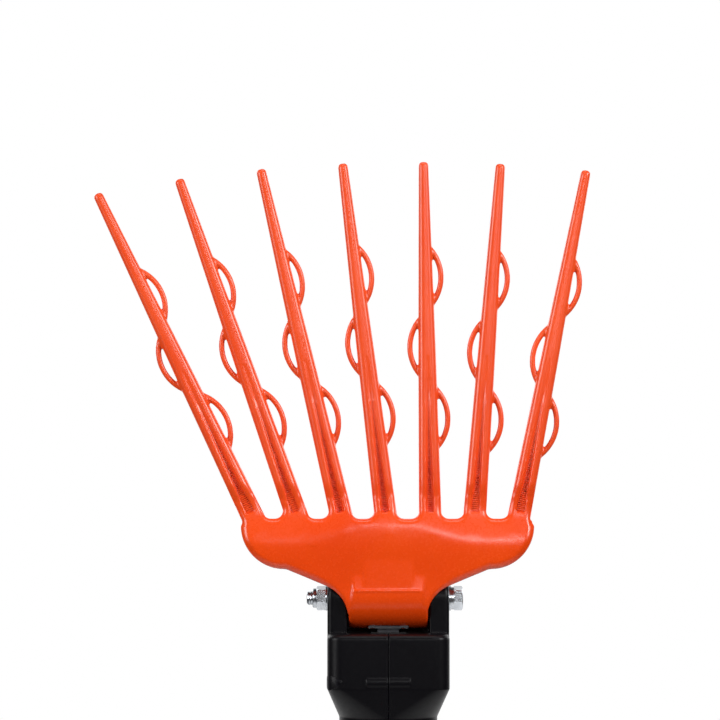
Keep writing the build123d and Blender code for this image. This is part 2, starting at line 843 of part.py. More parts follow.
def make_housing():
    housing = make_housing_form() - make_chamber()
    rib_low_z = can_low_z + motor_rib_rise
    bores = [
        (weight_r + weight_room, gearbox_top_z - past, disc_low_z),
        (gear_stack_r + slip, can_top_z, gearbox_top_z),
        (motor_r + motor_room, cap_low_z - past, can_top_z + past),
        (motor_cavity_r, rib_low_z + motor_rib_h, can_top_z - wall),
        (motor_cavity_r, can_low_z + motor_seat_h, rib_low_z),
        (neck_r - wall, spigot_top_z - past, can_low_z),
        (spigot_r + slip, body_low_z - past, spigot_top_z),
        (collar_r + slip, collar_low_z, collar_low_z + collar_h),
    ]
    for radius, low, high in bores:
        housing = housing - cylinder_z(radius, low, high)
    slot = block(
        -yoke_neck_half_w - clear,
        yoke_neck_half_w + clear,
        -yoke_neck_front - slot_room,
        yoke_neck_back + slot_room,
        deck_low_z - past,
        deck_top_z + past,
    )
    housing = housing - slot - seal_block(0.0, past)
    housing = housing - cylinder_x(bolt_r + slip, -cheek_outer_x - past, cheek_outer_x + past, 0, pivot_z)
    screw_end = shell_screw_reach + clear
    for y, z in shell_screw_places():
        housing = housing - cylinder_x(shell_screw_r + touch, -shell_seat_x - past, screw_end, y, z)
        housing = housing - cylinder_x(shell_head_r + loose, -cheek_outer_x - past, -shell_seat_x, y, z)
    room_end = gland_nut_y + gland_nut_h + touch
    housing = housing - cylinder_y(gland_r + touch, motor_r / 2, gland_face_y + past, 0, gland_z)
    housing = housing - cylinder_y(gland_hex / 2 + gland_nut_room, motor_r / 2, room_end, 0, gland_z)
    housing = housing - cylinder_x(socket_pin_r + touch, -neck_r - past, neck_r + past, 0, socket_pin_z)
    vent = extrude(Plane.YZ * SlotOverall(vent_h, vent_w, rotation=90), 2 * motor_tube_r + 2 * past)
    for index in range(vent_count):
        y = (index - (vent_count - 1) / 2) * vent_pitch
        housing = housing - Pos(-motor_tube_r - past, y, can_low_z + vent_rise) * vent
    return housing


def seal_block(shrink, rise):
    return block(
        -yoke_neck_half_w - seal_rim + shrink,
        yoke_neck_half_w + seal_rim - shrink,
        -yoke_neck_front - slot_room - seal_rim + shrink,
        yoke_neck_back + slot_room + seal_rim - shrink,
        deck_top_z - seal_sink,
        deck_top_z + rise,
    )


def make_slot_seal():
    room = swing_sin * (pivot_z - deck_top_z) + clear + loose
    opening = block(
        -yoke_neck_half_w - clear,
        yoke_neck_half_w + clear,
        -yoke_neck_front - room,
        yoke_neck_back + room,
        deck_top_z - seal_sink - past,
        deck_top_z + seal_rise + past,
    )
    return seal_block(touch, seal_rise) - opening


def make_housing_screws():
    head_x = -shell_seat_x - shell_head_h
    screws = []
    for y, z in shell_screw_places():
        head = cylinder_x(shell_head_r, head_x, -shell_seat_x - touch, y, z)
        shank = cylinder_x(shell_screw_r, head_x + shell_key_depth, shell_screw_reach, y, z)
        socket = hexagon_x(shell_key, head_x - past, head_x + shell_key_depth, 0, y, z)
        screws.append(head + shank - socket)
    return Compound(children=screws)


# Gears
def involute(angle):
    return math.tan(angle) - angle


def tooth_half_angle(teeth, radius, thickness):
    pitch_r = module * teeth / 2
    base_r = pitch_r * math.cos(math.radians(pressure_angle))
    here = math.acos(min(1.0, base_r / max(radius, base_r)))
    return thickness / (2 * pitch_r) + involute(math.radians(pressure_angle)) - involute(here)


def polar(radius, angle):
    return radius * math.cos(angle), radius * math.sin(angle)


def gear_face(teeth, low_r, high_r, thickness, turn):
    base_r = module * teeth / 2 * math.cos(math.radians(pressure_angle))
    start_r = max(low_r, base_r)
    middle_r = (start_r + high_r) / 2
    low = tooth_half_angle(teeth, start_r, thickness)
    middle = tooth_half_angle(teeth, middle_r, thickness)
    high = tooth_half_angle(teeth, high_r, thickness)
    tooth_angle = 2 * math.pi / teeth
    edges = []
    for tooth in range(teeth):
        centre = math.radians(turn) + tooth_angle * tooth
        for side in (-1, 1):
            root = polar(start_r, centre + side * low)
            flank = polar(middle_r, centre + side * middle)
            tip = polar(high_r, centre + side * high)
            edges.append(ThreePointArc(root, flank, tip))
            if start_r > low_r + touch:
                edges.append(Line(polar(low_r, centre + side * low), root))
        tips = [polar(high_r, centre + share * high) for share in (-1, 0, 1)]
        edges.append(ThreePointArc(*tips))
        gap = [low, tooth_angle / 2, tooth_angle - low]
        edges.append(ThreePointArc(*[polar(low_r, centre + angle) for angle in gap]))
    return make_face(edges)


def planet_angle(index):
    return 90.0 + 360.0 * index / planet_count


def planet_turn(index):
    place = planet_angle(index)
    return place + 180 - 360 / planet_teeth * (0.5 - place * sun_teeth / 360)


def ring_turn():
    place = planet_angle(0)
    planet_phase = (place - planet_turn(0)) * planet_teeth / 360
    return place - planet_phase * 360 / ring_teeth


def planet_centre(index):
    return polar(carrier_arm, math.radians(planet_angle(index)))


def make_sun():
    pitch_r = module * sun_teeth / 2
    face = gear_face(sun_teeth, pitch_r - tooth_root, pitch_r + tooth_top, tooth_w, 0.0)
    face = face - Circle(motor_shaft_r)
    return Pos(0, 0, planet_low_z - sun_under) * extrude(face, gear_h + sun_under)


def make_planet(index):
    pitch_r = module * planet_teeth / 2
    face = gear_face(planet_teeth, pitch_r - tooth_root, pitch_r + tooth_top, tooth_w, planet_turn(index))
    face = face - Circle(planet_pin_r + running)
    x, y = planet_centre(index)
    return Pos(x, y, planet_low_z) * extrude(face, gear_h)


def make_ring():
    pitch_r = module * ring_teeth / 2
    inside = gear_face(ring_teeth, pitch_r - tooth_top, pitch_r + tooth_root, gap_w, ring_turn())
    face = Circle(gear_stack_r) - inside
    ring = Pos(0, 0, ring_low_z) * extrude(face, ring_top_z - ring_low_z)
    return ring - dowels(dowel_r + touch, 0.0)


def dowels(radius, end_gap):
    low = can_top_z + dowel_cover_low + end_gap
    high = gearbox_top_z - dowel_cover_high - end_gap
    places = [polar(dowel_circle_r, 2 * math.pi * index / dowel_count) for index in range(dowel_count)]
    return Compound(children=[cylinder_z(radius, low, high, x, y) for x, y in places])


def make_gearbox_plate():
    plate = cylinder_z(gear_stack_r, ring_top_z, gearbox_top_z)
    plate = plate - cylinder_z(output_bearing_r, lower_bearing_z, gearbox_top_z + past)
    plate = plate - cylinder_z(output_bearing_r - bearing_lip, ring_top_z - past, lower_bearing_z + past)
    hollow_low = ring_top_z - past
    hollow_high = gearbox_top_z - plate_web_h
    plate = plate - ring_z(gear_stack_r - plate_rim, output_bearing_r + bearing_wall, hollow_low, hollow_high)
    return plate - dowels(dowel_r + touch, 0.0)


def make_output_bearings():
    levels = (lower_bearing_z, upper_bearing_z)
    return Compound(children=[ring_z(output_bearing_r, shaft_r, z, z + output_bearing_h) for z in levels])


def make_bearing_spacer():
    low = lower_bearing_z + output_bearing_h
    return ring_z(output_bearing_r, output_bearing_r - spacer_wall, low, upper_bearing_z)


def make_motor_plate():
    plate = cylinder_z(gear_stack_r, can_top_z, plate_top_z)
    plate = plate - cylinder_z(pilot_r + touch, can_top_z - past, plate_top_z + past)
    for x in (-motor_screw_circle_r, motor_screw_circle_r):
        plate = plate - cylinder_z(motor_screw_r + slip, can_top_z - past, plate_top_z + past, x)
        sink = Cone(motor_screw_r + slip, motor_head_r + loose, motor_head_h)
        plate = plate - Pos(x, 0, plate_top_z - motor_head_h / 2) * sink
    return plate - dowels(dowel_r + touch, 0.0)


def make_motor_screws():
    slot_low = plate_top_z - motor_slot_depth
    screws = []
    for x in (-motor_screw_circle_r, motor_screw_circle_r):
        head = Pos(x, 0, plate_top_z - motor_head_h / 2) * Cone(motor_screw_r, motor_head_r, motor_head_h)
        shank = cylinder_z(motor_screw_r, can_top_z - can_wall, plate_top_z - motor_head_h / 2, x)
        slot_y = motor_slot_w / 2
        slot = block(x - motor_head_r, x + motor_head_r, -slot_y, slot_y, slot_low, plate_top_z + past)
        screws.append(head + shank - slot)
    return Compound(children=screws)


# Motor
def make_motor_can():
    can = cylinder_z(motor_r, can_low_z, can_top_z)
    can = can + cylinder_z(pilot_r, can_top_z - past, can_top_z + pilot_h)
    can = can - cylinder_z(motor_r - can_wall, can_low_z - past, can_top_z - can_wall)
    can = can - cylinder_z(pilot_r - pilot_wall, can_top_z - can_wall - past, can_top_z + pilot_h + past)
    for x in (-motor_screw_circle_r, motor_screw_circle_r):
        can = can - cylinder_z(motor_screw_r + touch, can_top_z - can_wall - past, can_top_z + past, x)
    return can


def make_magnets():
    outer = motor_r - can_wall
    tube = ring_z(outer, magnet_inner_r, stack_middle_z - magnet_h / 2, stack_middle_z + magnet_h / 2)
    half = math.radians(magnet_angle / 2)
    reach = 2 * outer
    corner_x = reach * math.cos(half)
    corner_y = reach * math.sin(half)
    corners = [(corner_x, corner_y), (reach, reach), (reach, -reach), (corner_x, -corner_y)]
    wedge = make_face(Polyline((0, 0), *corners, close=True))
    wedge = Pos(0, 0, stack_middle_z - magnet_h) * extrude(wedge, 2 * magnet_h)
    right = tube & wedge
    return Compound(children=[right, mirror(right, Plane.YZ)])


def make_end_cap():
    cap = cylinder_z(motor_r - cap_inset, cap_low_z, can_low_z)
    cap = fillet(cap.edges().sort_by(Axis.Z)[0], cap_round)
    cap = cap + cylinder_z(motor_r - can_wall - touch, can_low_z - past, can_low_z + cap_spigot_h)
    cap = cap + cylinder_z(cap_boss_r, cap_low_z - cap_boss_h, cap_low_z + past)
    cap = cap - cylinder_z(commutator_r + cap_room, cap_low_z + cap_floor, can_low_z + cap_spigot_h + past)
    cap = cap - cylinder_z(motor_shaft_r + rear_bush_wall, rear_bush_z, cap_low_z + cap_floor + past)
    return cap - terminals(cap_low_z - past)


def terminals(low):
    tabs = []
    for side in (-1, 1):
        y = side * (motor_r - terminal_inset)
        tab = block(
            -terminal_w / 2,
            terminal_w / 2,
            y - terminal_t / 2,
            y + terminal_t / 2,
            low,
            cap_low_z + terminal_root,
        )
        tabs.append(tab)
    return Compound(children=tabs)


def make_brushes():
    low = can_low_z + cap_spigot_h + brush_floor
    near = commutator_r + running
    far = commutator_r + brush_l
    brush = block(-brush_w / 2, brush_w / 2, near, far, low, low + brush_w)
    brush = brush - cylinder_z(near, low - past, low + brush_w + past)
    return Compound(children=[brush, mirror(brush, Plane.XZ)])


def make_brush_holder():
    low = can_low_z + cap_spigot_h
    high = low + brush_floor + brush_w + brush_cover
    holder = ring_z(motor_r - can_wall - touch, commutator_r + holder_gap, low, high)
    room_x = brush_w / 2 + touch
    room_y = commutator_r + brush_l + touch
    room = block(-room_x, room_x, -room_y, room_y, low + brush_floor - touch, high + past)
    return holder - room


def make_motor_bushes():
    bore = motor_shaft_r + running
    front = ring_z(pilot_r - pilot_wall, bore, can_top_z - can_wall, can_top_z + pilot_h)
    rear_low = rear_bush_z + rear_bush_lift
    rear = ring_z(motor_shaft_r + rear_bush_wall, bore, rear_low, cap_low_z + cap_floor)
    return Compound(children=[front, rear])


def make_motor_shaft():
    return cylinder_z(motor_shaft_r, rear_bush_z + shaft_end_lift, planet_low_z + gear_h)


def make_stack():
    outer = magnet_inner_r - air_gap
    stack = ring_z(outer, motor_shaft_r, stack_middle_z - stack_h / 2, stack_middle_z + stack_h / 2)
    slot_y = stack_slot_w / 2
    slot = block(
        outer - stack_slot_depth,
        outer + past,
        -slot_y,
        slot_y,
        stack_middle_z - stack_h,
        stack_middle_z + stack_h,
    )
    for index in range(stack_slots):
        stack = stack - Rot(0, 0, 360 / stack_slots * index) * slot
    return stack


def make_windings():
    near = stack_h / 2
    far = near + winding_h
    ends = []
    for side in (-1, 1):
        low, high = sorted((stack_middle_z + side * near, stack_middle_z + side * far))
        coil = ring_z(winding_r, motor_shaft_r + winding_wall, low, high)
        rims = coil.edges().filter_by(GeomType.CIRCLE).sort_by(SortBy.RADIUS)[-2:]
        ends.append(fillet(rims, winding_round))
    return Compound(children=ends)


def make_commutator():
    return ring_z(commutator_r, motor_shaft_r, can_low_z + commutator_lift, can_low_z + commutator_h)


# Crank
def make_carrier_shaft():
    carrier = cylinder_z(carrier_arm + carrier_rim, carrier_low_z, carrier_top_z)
    shaft = cylinder_z(shaft_r - touch, carrier_top_z - past, weight_low_z)
    seat = cylinder_z(crank_seat_r, weight_low_z - past, disc_low_z)
    part = carrier + shaft + seat
    for index in range(planet_count):
        x, y = planet_centre(index)
        part = part - cylinder_z(planet_pin_r, carrier_low_z - past, carrier_top_z + past, x, y)
    return part


def make_planet_pins():
    head_top = planet_low_z - planet_head_gap
    pins = []
    for index in range(planet_count):
        x, y = planet_centre(index)
        pin = cylinder_z(planet_pin_r, head_top - planet_head_h / 2, carrier_top_z, x, y)
        head = cylinder_z(planet_head_r, head_top - planet_head_h, head_top, x, y)
        pins.append(pin + head)
    return Compound(children=pins)


def make_crank_head():
    disc = cylinder_z(crank_disc_r, disc_low_z, disc_top_z)
    weight = cylinder_z(weight_r, weight_low_z, disc_low_z)
    reach = weight_r + past
    weight = weight - block(0, reach, -reach, reach, weight_low_z - past, disc_low_z + past)
    core = cylinder_z(crank_core_r, weight_low_z, disc_low_z)
    land = cylinder_z(crank_pin_r + land_w, disc_top_z, drive_bearing_z, eccentricity)
    pin = cylinder_z(crank_pin_r, disc_top_z, pin_top_z, eccentricity)
    head = disc + weight + core + land + pin
    head = head - cylinder_z(crank_seat_r, weight_low_z - past, disc_low_z)
    head = head - ring_z(crank_pin_r + past, crank_pin_r - clip_groove, clip_z, clip_z + clip_h, eccentricity)
    return head - grub(grub_r, weight_r + past)


def grub(radius, end):
    return cylinder_x(radius, -end, -crank_seat_r, 0, (weight_low_z + disc_low_z) / 2)


def make_clip():
    clip = ring_z(clip_r, crank_pin_r - clip_groove, clip_z, clip_z + clip_h, eccentricity)
    mouth_y = clip_mouth / 2
    mouth_x = eccentricity + clip_r + past
    return clip - block(eccentricity, mouth_x, -mouth_y, mouth_y, clip_z - past, clip_z + clip_h + past)


def make_drive_bearing():
    top = drive_bearing_z + drive_bearing_h
    return ring_z(drive_bearing_r, crank_pin_r, drive_bearing_z, top, eccentricity)


# Pivot
def make_pivot_bolt():
    head_low = cheek_outer_x + washer_h + spring_washer_h
    end = -nut_near_x - nut_hex_h - nut_collar_h - bolt_end_h
    head = hexagon_x(bolt_hex, head_low, head_low + bolt_head_h, hex_turn, 0, pivot_z)
    bevel = Cone(bolt_hex / 2 + bolt_head_h * hex_bevel_slope, head_bevel_r, bolt_head_h)
    head = head & (Pos(head_low + bolt_head_h / 2, 0, pivot_z) * Rot(0, 90, 0) * bevel)
    shank = cylinder_x(bolt_r, end, head_low + past, 0, pivot_z)
    shank = chamfer(shank.edges().filter_by(GeomType.CIRCLE).sort_by(Axis.X)[0], bolt_end_bevel)
    return head + shank


def make_pivot_nut():
    hex_far = -nut_near_x - nut_hex_h
    nut = hexagon_x(bolt_hex, hex_far, -nut_near_x, hex_turn, 0, pivot_z)
    bevel = Cone(bolt_hex / 2, bolt_hex / 2 + nut_hex_h * hex_bevel_slope, nut_hex_h)
    nut = nut & (Pos(hex_far + nut_hex_h / 2, 0, pivot_z) * Rot(0, 90, 0) * bevel)
    far = hex_far - nut_collar_h
    collar = cylinder_x(nut_collar_r, far, hex_far + past, 0, pivot_z)
    collar = fillet(collar.edges().filter_by(GeomType.CIRCLE).sort_by(Axis.X)[0], nut_collar_round)
    nut = nut + collar - cylinder_x(bolt_r, far - past, -nut_near_x + past, 0, pivot_z)
    return nut - make_locking_ring()


def make_locking_ring():
    hex_far = -nut_near_x - nut_hex_h
    low = hex_far - nut_collar_h + locking_cover
    return ring_x(nut_collar_r - locking_wall, bolt_r, low, hex_far - locking_floor, 0, pivot_z)


def make_washers():
    right = ring_x(washer_r, bolt_r + loose, cheek_outer_x, cheek_outer_x + washer_h, 0, pivot_z)
    return Compound(children=[right, mirror(right, Plane.YZ)])


def make_spring_washer():
    low = cheek_outer_x + washer_h
    high = low + spring_washer_h
    ring = ring_x(spring_washer_r, bolt_r + loose, low, high, 0, pivot_z)
    half_gap = spring_washer_gap / 2
    far_y = spring_washer_r + past
    return ring - block(low - past, high + past, 0, far_y, pivot_z - half_gap, pivot_z + half_gap)


def make_sleeve():
    return ring_x(sleeve_r, bolt_r + slip, -cheek_inner_x, cheek_inner_x, 0, pivot_z)


def make_bushes():
    bore = sleeve_r + running
    right = ring_x(bush_r, bore, hub_half_w - bush_h, hub_half_w, 0, pivot_z)
    right = right + ring_x(bush_flange_r, bore, hub_half_w, hub_half_w + bush_flange_h, 0, pivot_z)
    return Compound(children=[right, mirror(right, Plane.YZ)])


# Pole socket and its clamp
clamp_screw_levels = [clamp_screw_low, clamp_screw_low + clamp_screw_pitch]


def make_pole_socket():
    bore_r = pole_bore_d / 2
    outer_r = bore_r + socket_wall
    ear_y = outer_r + clamp_ear_out
    socket = cylinder_z(outer_r, 0, body_low_z)
    socket = socket + block(-clamp_ear_x, clamp_ear_x, 0, ear_y, 0, clamp_slit_h)
    socket = fillet(socket.edges().filter_by(Axis.X).sort_by(Axis.Y)[-2:], clamp_ear_round)
    socket = socket + cylinder_z(socket_flange_r, flange_low_z, body_low_z)
    socket = socket + cylinder_z(spigot_r, body_low_z - past, spigot_top_z)
    socket = socket + cylinder_z(collar_r, collar_low_z + touch, collar_low_z + collar_h - touch)
    socket = socket - cylinder_z(bore_r, -past, socket_bore_depth)
    socket = socket - cylinder_z(spigot_r - socket_wall, body_low_z + spigot_floor, spigot_top_z + past)
    socket = socket - block(-clamp_slit / 2, clamp_slit / 2, 0, ear_y + past, -past, clamp_slit_h)
    hole_x = clamp_ear_x + past
    for z in clamp_screw_levels:
        socket = socket - cylinder_x(clamp_screw_r + loose, -hole_x, hole_x, clamp_screw_y, z)
    return socket - cylinder_x(socket_pin_r + touch, -collar_r - past, collar_r + past, 0, socket_pin_z)


def make_socket_pins():
    right = cylinder_x(socket_pin_r, spigot_r - socket_wall - past, neck_r - clear, 0, socket_pin_z)
    return Compound(children=[right, mirror(right, Plane.YZ)])


def make_clamp_screws():
    head_end = clamp_ear_x + clamp_head_h
    shank_end = -clamp_ear_x - clamp_nut_h - clamp_screw_end
    screws = []
    for z in clamp_screw_levels:
        head = cylinder_x(clamp_head_r, clamp_ear_x, head_end, clamp_screw_y, z)
        shank = cylinder_x(clamp_screw_r, shank_end, clamp_ear_x + past, clamp_screw_y, z)
        socket = hexagon_x(clamp_key, head_end - clamp_head_h / 2, head_end + past, 0, clamp_screw_y, z)
        screws.append(head + shank - socket)
    return Compound(children=screws)


def make_clamp_nuts():
    nut_end = -clamp_ear_x - clamp_nut_h
    nuts = []
    for z in clamp_screw_levels:
        nut = hexagon_x(clamp_nut_hex, nut_end, -clamp_ear_x, 0, clamp_screw_y, z)
        nuts.append(nut - cylinder_x(clamp_screw_r, nut_end - past, -clamp_ear_x + past, clamp_screw_y, z))
    return Compound(children=nuts)


# Cable gland, at the back of the housing
def hexagon_y(flats, low, high, z):
    face = RegularPolygon(flats / 2, 6, major_radius=False)
    return Pos(0, high, z) * extrude(Plane.XZ * face, high - low)


def make_gland_body():
    hex_end = gland_face_y + gland_hex_h
    body = hexagon_y(gland_hex, gland_face_y, hex_end, gland_z)
    body = body + cylinder_y(gland_r, gland_nut_y - gland_thread_end, gland_face_y + past, 0, gland_z)
    body = body + cylinder_y(gland_r - gland_neck_in, gland_face_y, gland_end_y, 0, gland_z)
    return body - cylinder_y(cable_r + grommet_wall, 0, gland_end_y + past, 0, gland_z)


def make_gland_nut():
    high = gland_nut_y + gland_nut_h
    nut = hexagon_y(gland_hex, gland_nut_y, high, gland_z)
    return nut - cylinder_y(gland_r, gland_nut_y - past, high + past, 0, gland_z)


def make_gland_cap():
    low = gland_face_y + gland_hex_h + touch
    high = low + gland_cap_h
    cap = cylinder_y(gland_cap_r, low, high, 0, gland_z)
    cap = fillet(cap.edges().filter_by(GeomType.CIRCLE).sort_by(Axis.Y)[-1], gland_cap_round)
    cap = cap - cylinder_y(gland_r - gland_neck_in, low - past, gland_end_y + touch, 0, gland_z)
    return cap - cylinder_y(cable_r + gland_cap_mouth, low - past, high + past, 0, gland_z)


def make_grommet():
    low = gland_face_y + gland_hex_h - grommet_root
    high = gland_end_y - touch
    tube = cylinder_y(cable_r + grommet_wall, low, high, 0, gland_z)
    return tube - cylinder_y(cable_r, low - past, high + past, 0, gland_z)


def save_housing():
    housing = make_housing()
    room = housing.bounding_box()
    left = block(
        room.min.X - past,
        -seam / 2,
        room.min.Y - past,
        room.max.Y + past,
        room.min.Z - past,
        room.max.Z + past,
    )
    save(housing & left, "housing_left")
    save(housing & mirror(left, Plane.YZ), "housing_right")


def main():
    os.makedirs("parts", exist_ok=True)
    save_housing()
    save(make_housing_screws(), "housing_screws")
    save(make_slot_seal(), "slot_seal")
    save(make_pivot_bolt(), "pivot_bolt")
    save(make_pivot_nut(), "pivot_nut")
    save(make_locking_ring(), "nut_locking_ring")
    save(make_washers(), "pivot_washers")
    save(make_spring_washer(), "pivot_spring_washer")
    save(make_sleeve(), "pivot_sleeve")
    save(make_gearbox_plate(), "gearbox_plate")
    save(make_output_bearings(), "output_bearings")
    save(make_bearing_spacer(), "bearing_spacer")
    save(make_ring(), "ring_gear")
    save(dowels(dowel_r, dowel_end_gap), "gearbox_dowels")
    save(make_motor_plate(), "motor_plate")
    save(make_motor_screws(), "motor_screws")
    save(make_motor_can(), "motor_can")
    save(make_magnets(), "motor_magnets")
    save(make_end_cap(), "motor_end_cap")
    save(terminals(cap_low_z - terminal_h), "motor_terminals")
    save(make_brush_holder(), "brush_holder")
    save(make_brushes(), "motor_brushes")
    save(make_motor_bushes(), "motor_bushes")
    save(make_gland_body(), "gland_body")
    save(make_gland_nut(), "gland_nut")
    save(make_gland_cap(), "gland_cap")
    save(make_grommet(), "gland_grommet")
    save(make_pole_socket(), "pole_socket")
    save(make_socket_pins(), "socket_pins")
    save(make_clamp_screws(), "clamp_screws")
    save(make_clamp_nuts(), "clamp_nuts")
    save_rake()
    save(make_bushes(), "hub_bushes")
    save(make_yoke(), "rocker_yoke")
    save(make_yoke_screws(), "yoke_screws")
    save(make_crank_head(), "crank_head")
    save(make_carrier_shaft(), "carrier_shaft")
    save(grub(grub_r - touch, crank_seat_r + grub_l), "crank_grub_screw")
    save(make_drive_bearing(), "drive_bearing")
    save(make_clip(), "crank_clip")
    save(make_planet_pins(), "planet_pins")
    for index in range(planet_count):
        save(make_planet(index), f"planet_gear_{index + 1}")
    save(make_motor_shaft(), "motor_shaft")
    save(make_sun(), "sun_gear")
    save(make_stack(), "armature_stack")
    save(make_windings(), "armature_windings")
    save(make_commutator(), "commutator")
    print("pivot height", round(pivot_z, 2), "swing each way", round(swing_deg, 3))
    print("yoke gap each side", round(tine_inner_y - drive_bearing_r, 2))
    print("body depth", round(2 * body_half_y, 2))


main()
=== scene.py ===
import bpy
import bmesh
import json
import math
import numpy as np
from mathutils import Matrix, Vector


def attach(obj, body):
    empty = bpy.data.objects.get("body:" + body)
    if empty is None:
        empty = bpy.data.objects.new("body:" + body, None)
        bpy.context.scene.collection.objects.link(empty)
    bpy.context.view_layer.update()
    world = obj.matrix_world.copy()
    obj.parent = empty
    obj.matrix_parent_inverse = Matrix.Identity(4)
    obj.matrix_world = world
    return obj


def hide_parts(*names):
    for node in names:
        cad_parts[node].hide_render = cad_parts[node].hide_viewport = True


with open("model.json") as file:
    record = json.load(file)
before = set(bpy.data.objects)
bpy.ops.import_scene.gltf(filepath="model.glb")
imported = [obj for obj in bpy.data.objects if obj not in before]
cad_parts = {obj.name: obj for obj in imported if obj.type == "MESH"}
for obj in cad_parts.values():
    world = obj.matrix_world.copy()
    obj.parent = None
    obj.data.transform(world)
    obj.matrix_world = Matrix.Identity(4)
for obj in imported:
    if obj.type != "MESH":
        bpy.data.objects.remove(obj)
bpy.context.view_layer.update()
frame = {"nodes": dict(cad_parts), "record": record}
scene = bpy.context.scene
mm = 0.001
print("frame loaded:", len(frame["nodes"]), "nodes")


# node helpers
def newGroup(name, inputs, outputs):
    group = bpy.data.node_groups.new(name, "ShaderNodeTree")
    for label, value in inputs.items():
        socket = group.interface.new_socket(label, in_out="INPUT", socket_type="NodeSocketFloat")
        socket.default_value = value
    for label in outputs:
        group.interface.new_socket(label, in_out="OUTPUT", socket_type="NodeSocketFloat")
    return group, group.nodes.new("NodeGroupInput"), group.nodes.new("NodeGroupOutput")


def addNode(tree, kind, values=None, **settings):
    node = tree.nodes.new(kind)
    for key, value in settings.items():
        setattr(node, key, value)
    for key, value in (values or {}).items():
        node.inputs[key].default_value = value
    return node


def join(tree, source, target):
    tree.links.new(source, target)


# a number or a colour is set, anything else is linked
def feed(tree, source, target):
    if isinstance(source, (int, float)):
        target.default_value = source
    elif isinstance(source, tuple):
        target.default_value = (*source, 1.0)
    else:
        join(tree, source, target)


def ramp(tree, source, low, high):
    node = addNode(tree, "ShaderNodeMapRange", {"From Min": low, "From Max": high})
    join(tree, source, node.inputs["Value"])
    return node.outputs["Result"]


def reckon(tree, operation, first, second):
    node = addNode(tree, "ShaderNodeMath", operation=operation)
    feed(tree, first, node.inputs[0])
    feed(tree, second, node.inputs[1])
    return node.outputs[0]


def times(tree, first, second):
    return reckon(tree, "MULTIPLY", first, second)


def plus(tree, first, second):
    return reckon(tree, "ADD", first, second)


mixSockets = {"share": 0, "first": 6, "second": 7, "result": 2}  # where the mix node keeps its colours


def mixColour(tree, share, first, second):
    node = addNode(tree, "ShaderNodeMix", data_type="RGBA")
    feed(tree, share, node.inputs[mixSockets["share"]])
    feed(tree, first, node.inputs[mixSockets["first"]])
    feed(tree, second, node.inputs[mixSockets["second"]])
    return node.outputs[mixSockets["result"]]


def objectPlace(tree):
    return addNode(tree, "ShaderNodeTexCoord").outputs["Object"]


def noise(tree, place, **values):
    node = addNode(tree, "ShaderNodeTexNoise", values)
    join(tree, place, node.inputs["Vector"])
    return node


# the standard curve from screen values to linear light
def srgb(*channels):
    shares = [c / 255 for c in channels]
    return tuple(s / 12.92 if s < 0.04045 else ((s + 0.055) / 1.055) ** 2.4 for s in shares)


def shaded(colour, factor):
    return tuple(min(1.0, factor * c) for c in colour)


# effects that several finishes share
middleBand = (0.3, 0.7)  # spreads a noise over the whole range


def mouldSurface():
    scales = {"Grain Scale": 2600.0, "Flow Scale": 14.0}
    group, start, end = newGroup("mouldSurface", scales, ["Grain", "Flow", "Mottle"])
    place = objectPlace(group)
    grain = noise(group, place, Detail=3.0, Roughness=0.6)
    flow = noise(group, place, Detail=4.0, Distortion=1.2)
    mottle = noise(group, place, Scale=420.0, Detail=5.0, Roughness=0.65)
    join(group, start.outputs["Grain Scale"], grain.inputs["Scale"])
    join(group, start.outputs["Flow Scale"], flow.inputs["Scale"])
    join(group, grain.outputs["Fac"], end.inputs["Grain"])
    join(group, ramp(group, flow.outputs["Fac"], *middleBand), end.inputs["Flow"])
    join(group, ramp(group, mottle.outputs["Fac"], *middleBand), end.inputs["Mottle"])
    return group


# a patchy mask for pointy edges (worn spots, plus painted highlight) and a crevice mask for painted shade
def edgeAndCreviceMasks():
    band = {"edge": (0.52, 0.60), "crevice": (0.49, 0.40), "patch": (0.36, 0.66)}
    group, _, end = newGroup("edgeAndCreviceMasks", {}, ["Worn", "Crevice"])
    point = addNode(group, "ShaderNodeNewGeometry").outputs["Pointiness"]
    patch = noise(group, objectPlace(group), Scale=90.0, Detail=5.0, Roughness=0.7)
    patchy = ramp(group, patch.outputs["Fac"], *band["patch"])
    join(group, times(group, ramp(group, point, *band["edge"]), patchy), end.inputs["Worn"])
    join(group, ramp(group, point, *band["crevice"]), end.inputs["Crevice"])
    return group


def handling():
    scuffBand = (0.60, 0.72)
    streaks = {"Rotation": (0.4, 0.7, 0.3), "Scale": (22.0, 1.0, 3.0)}
    group, start, end = newGroup("handling", {"Scratch Scale": 60.0}, ["Scuff"])
    turned = addNode(group, "ShaderNodeMapping", streaks)
    join(group, objectPlace(group), turned.inputs["Vector"])
    scratch = noise(group, turned.outputs["Vector"], Detail=6.0, Roughness=0.75)
    join(group, start.outputs["Scratch Scale"], scratch.inputs["Scale"])
    join(group, ramp(group, scratch.outputs["Fac"], *scuffBand), end.inputs["Scuff"])
    return group


groups = {build.__name__: build() for build in (mouldSurface, edgeAndCreviceMasks, handling)}


def effect(tree, name, **values):
    node = addNode(tree, "ShaderNodeGroup", node_tree=groups[name])
    for label, value in values.items():
        node.inputs[label.replace("_", " ")].default_value = value
    return node.outputs


def newFinish(name, **constants):
    material = bpy.data.materials.new(name)
    material.use_nodes = True
    shader = material.node_tree.nodes["Principled BSDF"]
    for label, value in constants.items():
        shader.inputs[label.replace("_", " ")].default_value = value
    return material, material.node_tree, shader


def addBump(tree, shader, height, distance):
    bump = addNode(tree, "ShaderNodeBump", {"Distance": distance})
    join(tree, height, bump.inputs["Height"])
    join(tree, bump.outputs["Normal"], shader.inputs["Normal"])


# satin injection moulding: flow streaks, fine grain, paler edges (worn, plus painted highlight), painted
# shade in crevices
moulded = {
    "mottle": 0.22, "crevice": 0.45, "shade": 0.55, "flowBand": (-1.0, 0.8),
    "mottleDull": 0.06, "scuffDull": 0.06, "creviceDull": 0.12,
}


